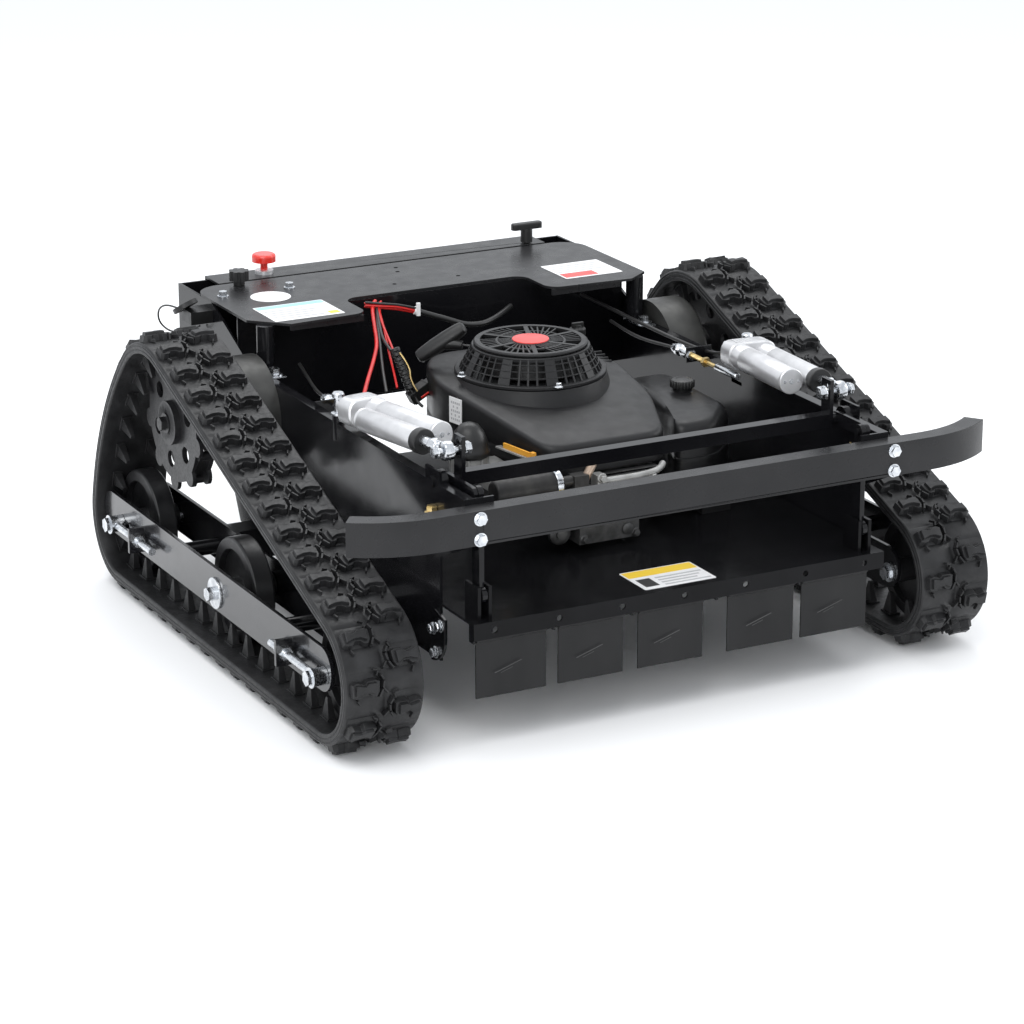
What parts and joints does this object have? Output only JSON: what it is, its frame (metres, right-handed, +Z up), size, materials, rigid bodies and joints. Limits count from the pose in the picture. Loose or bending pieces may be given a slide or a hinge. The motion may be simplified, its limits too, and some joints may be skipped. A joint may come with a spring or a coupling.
{
  "type": "tracked mower chassis",
  "caption": "Remote-controlled tracked chassis: rubber tracks beside a welded frame, with a petrol engine on a lifting mower deck, front flaps, bumper and rear bay.",
  "frame": {"origin": "on the ground, under the middle of the machine", "axes": "+Z up, front bumper towards -Y, rear bay towards +Y, +X towards the nodes named right; Z is the shortest side"},
  "size_m": [1.096, 1.058, 0.4813],
  "materials": {
    "frame_paint": "gloss black paint",
    "plate_paint": "satin black powder coat",
    "track_rubber": "moulded rubber, slightly shiny",
    "wheel_rubber": "black rubber tyre on a steel hub",
    "cast_black": "black painted casting",
    "zinc": "bright zinc plate",
    "motor_shell": "dark grey phosphated steel",
    "alloy": "satin silver",
    "engine_alloy": "cast alloy, dark",
    "cowl_plastic": "moulded black plastic",
    "tank_plastic": "black moulded plastic, satin",
    "knob_plastic": "black plastic",
    "stop_red": "glossy red",
    "flap_rubber": "smooth rubber sheet",
    "exhaust_steel": "heat-stained steel",
    "blade_steel": "forged steel",
    "lead_jacket": "red cable jacket"
  },
  "bodies": {
    "chassis": {"frame_side_left": "frame_paint", "frame_side_right": "frame_paint", "rear_bay": "frame_paint", "bay_box": "knob_plastic", "top_plate": "plate_paint", "rear_strip": "plate_paint", "plate_posts": "frame_paint", "front_bumper": "plate_paint", "frame_fasteners": "zinc", "track_belt_left": "track_rubber", "track_belt_right": "track_rubber", "track_rail_outer_left": "frame_paint", "track_rail_outer_right": "frame_paint", "track_rails_inner": "frame_paint", "track_brackets": "frame_paint", "middle_axles": "zinc", "drive_motor_left": "motor_shell", "drive_motor_right": "motor_shell", "stop_base": "alloy", "charge_socket": "knob_plastic", "actuator_body_left": "alloy", "actuator_body_right": "alloy", "actuator_leads": "lead_jacket"},
    "sprocket_left": {"drive_sprocket_left": "cast_black"},
    "middle_wheel_left": {"middle_wheel_left": "wheel_rubber"},
    "front_tensioner_left": {"front_tensioner_left": "zinc"},
    "front_idler_left": {"front_idler_left": "wheel_rubber"},
    "rear_tensioner_left": {"rear_tensioner_left": "zinc"},
    "rear_idler_left": {"rear_idler_left": "wheel_rubber"},
    "sprocket_right": {"drive_sprocket_right": "cast_black"},
    "middle_wheel_right": {"middle_wheel_right": "wheel_rubber"},
    "front_tensioner_right": {"front_tensioner_right": "zinc"},
    "front_idler_right": {"front_idler_right": "wheel_rubber"},
    "rear_tensioner_right": {"rear_tensioner_right": "zinc"},
    "rear_idler_right": {"rear_idler_right": "wheel_rubber"},
    "deck": {"deck_shell": "plate_paint", "flap_rod": "frame_paint", "engine_block": "engine_alloy", "engine_cowl": "cowl_plastic", "recoil_cover": "cowl_plastic", "fuel_tank": "tank_plastic", "muffler": "exhaust_steel"},
    "crank": {"crankshaft": "blade_steel", "blade": "blade_steel", "flywheel_fan": "engine_alloy"},
    "flap_1": {"flap_1": "flap_rubber"},
    "flap_2": {"flap_2": "flap_rubber"},
    "flap_3": {"flap_3": "flap_rubber"},
    "flap_4": {"flap_4": "flap_rubber"},
    "flap_5": {"flap_5": "flap_rubber"},
    "starter_grip": {"starter_grip": "knob_plastic"},
    "fuel_cap": {"fuel_cap": "knob_plastic"},
    "oil_cap": {"oil_cap": "knob_plastic"},
    "stop_button": {"stop_button": "stop_red"},
    "t_knob": {"t_knob": "knob_plastic"},
    "star_knob": {"star_knob": "knob_plastic"},
    "lift_shaft": {"lift_shaft": "frame_paint"},
    "lift_links": {"lift_links": "frame_paint"},
    "actuator_rod_left": {"actuator_rod_left": "zinc"},
    "actuator_rod_right": {"actuator_rod_right": "zinc"}
  },
  "joints": [
    {"name": "sprocket_spin_left", "type": "hinge", "parent": "chassis", "child": "sprocket_left", "pos_m": [-0.472, 0.21, 0.312], "axis": [1, 0, 0], "continuous": true},
    {"name": "middle_wheel_spin_left", "type": "hinge", "parent": "chassis", "child": "middle_wheel_left", "pos_m": [-0.472, -0.015, 0.112], "axis": [1, 0, 0], "continuous": true},
    {"name": "front_tension_left", "type": "slide", "parent": "chassis", "child": "front_tensioner_left", "axis": [0, 1, 0], "range_m": [0, 0.02]},
    {"name": "front_idler_spin_left", "type": "hinge", "parent": "front_tensioner_left", "child": "front_idler_left", "pos_m": [-0.472, -0.4, 0.112], "axis": [1, 0, 0], "continuous": true},
    {"name": "rear_tension_left", "type": "slide", "parent": "chassis", "child": "rear_tensioner_left", "axis": [0, -1, 0], "range_m": [0, 0.02]},
    {"name": "rear_idler_spin_left", "type": "hinge", "parent": "rear_tensioner_left", "child": "rear_idler_left", "pos_m": [-0.472, 0.358, 0.112], "axis": [1, 0, 0], "continuous": true},
    {"name": "sprocket_spin_right", "type": "hinge", "parent": "chassis", "child": "sprocket_right", "pos_m": [0.472, 0.21, 0.312], "axis": [1, 0, 0], "continuous": true},
    {"name": "middle_wheel_spin_right", "type": "hinge", "parent": "chassis", "child": "middle_wheel_right", "pos_m": [0.472, -0.015, 0.112], "axis": [1, 0, 0], "continuous": true},
    {"name": "front_tension_right", "type": "slide", "parent": "chassis", "child": "front_tensioner_right", "axis": [0, 1, 0], "range_m": [0, 0.02]},
    {"name": "front_idler_spin_right", "type": "hinge", "parent": "front_tensioner_right", "child": "front_idler_right", "pos_m": [0.472, -0.4, 0.112], "axis": [1, 0, 0], "continuous": true},
    {"name": "rear_tension_right", "type": "slide", "parent": "chassis", "child": "rear_tensioner_right", "axis": [0, -1, 0], "range_m": [0, 0.02]},
    {"name": "rear_idler_spin_right", "type": "hinge", "parent": "rear_tensioner_right", "child": "rear_idler_right", "pos_m": [0.472, 0.358, 0.112], "axis": [1, 0, 0], "continuous": true},
    {"name": "deck_lift", "type": "slide", "parent": "chassis", "child": "deck", "axis": [0, 0, 1], "range_m": [-0.04, 0.04]},
    {"name": "crank_spin", "type": "hinge", "parent": "deck", "child": "crank", "pos_m": [0, -0.033, 0.189], "axis": [0, 0, 1], "continuous": true},
    {"name": "flap_swing_1", "type": "hinge", "parent": "deck", "child": "flap_1", "pos_m": [0, -0.494, 0.163], "axis": [1, 0, 0], "range_deg": [0, 60]},
    {"name": "flap_swing_2", "type": "hinge", "parent": "deck", "child": "flap_2", "pos_m": [0, -0.494, 0.163], "axis": [1, 0, 0], "range_deg": [0, 60]},
    {"name": "flap_swing_3", "type": "hinge", "parent": "deck", "child": "flap_3", "pos_m": [0, -0.494, 0.163], "axis": [1, 0, 0], "range_deg": [0, 60]},
    {"name": "flap_swing_4", "type": "hinge", "parent": "deck", "child": "flap_4", "pos_m": [0, -0.494, 0.163], "axis": [1, 0, 0], "range_deg": [0, 60]},
    {"name": "flap_swing_5", "type": "hinge", "parent": "deck", "child": "flap_5", "pos_m": [0, -0.494, 0.163], "axis": [1, 0, 0], "range_deg": [0, 60]},
    {"name": "starter_pull", "type": "slide", "parent": "deck", "child": "starter_grip", "axis": [-0.7211, 0.691, 0.0501], "range_m": [0, 0.12]},
    {"name": "fuel_cap_turn", "type": "hinge", "parent": "deck", "child": "fuel_cap", "pos_m": [0.23, -0.097, 0.357], "axis": [0, 0, 1], "continuous": true},
    {"name": "oil_cap_turn", "type": "hinge", "parent": "deck", "child": "oil_cap", "pos_m": [0.152, 0.096, 0.404], "axis": [0, 0, 1], "continuous": true},
    {"name": "stop_press", "type": "slide", "parent": "chassis", "child": "stop_button", "axis": [0, 0, -1], "range_m": [0, 0.006], "stiffness_N_per_m": 600},
    {"name": "t_knob_turn", "type": "hinge", "parent": "chassis", "child": "t_knob", "pos_m": [0.267, 0.484, 0.47], "axis": [0, 0, 1], "continuous": true},
    {"name": "star_knob_turn", "type": "hinge", "parent": "chassis", "child": "star_knob", "pos_m": [-0.27, 0.45, 0.46], "axis": [0, 0, 1], "continuous": true},
    {"name": "lift_shaft_turn", "type": "hinge", "parent": "chassis", "child": "lift_shaft", "pos_m": [0, -0.393, 0.367], "axis": [1, 0, 0], "range_deg": [-33, 33]},
    {"name": "lift_link_swing", "type": "hinge", "parent": "lift_shaft", "child": "lift_links", "pos_m": [0, -0.468, 0.367], "axis": [1, 0, 0], "range_deg": [-33, 33]},
    {"name": "actuator_push_left", "type": "slide", "parent": "chassis", "child": "actuator_rod_left", "axis": [0.1305, -0.9914, 0], "range_m": [-0.03, 0.03]},
    {"name": "actuator_push_right", "type": "slide", "parent": "chassis", "child": "actuator_rod_right", "axis": [-0.1305, -0.9914, 0], "range_m": [-0.03, 0.03]}
  ],
  "couplings": [
    {"joint": "lift_shaft_turn", "follows": "deck_lift", "rad_per_m": -13.661},
    {"joint": "lift_link_swing", "follows": "deck_lift", "rad_per_m": 13.661},
    {"joint": "actuator_push_left", "follows": "deck_lift", "ratio": -0.6077},
    {"joint": "actuator_push_right", "follows": "deck_lift", "ratio": -0.6077}
  ]
}
